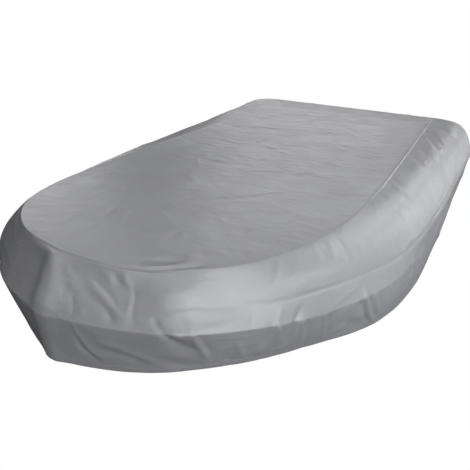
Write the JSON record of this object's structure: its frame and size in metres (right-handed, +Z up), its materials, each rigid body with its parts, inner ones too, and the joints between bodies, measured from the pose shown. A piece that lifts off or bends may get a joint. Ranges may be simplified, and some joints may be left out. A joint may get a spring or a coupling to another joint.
{
  "type": "boat cover",
  "caption": "Fitted cloth cover for a small inflatable boat: a D-shaped top panel sewn to one long side panel that tucks in under the rubbing strake.",
  "frame": {"origin": "middle of the cover's outline in plan, level with the lowest point of its hem", "axes": "+Y towards the stern, -Y towards the bow, +X to starboard, +Z up"},
  "size_m": [1.4896, 2.4, 0.3972],
  "materials": {
    "top_cloth": "grey coated polyester, soft gloss",
    "side_cloth": "grey coated polyester, soft gloss"
  },
  "bodies": {
    "root": {"top_panel": "top_cloth", "side_panel": "side_cloth"}
  },
  "joints": []
}
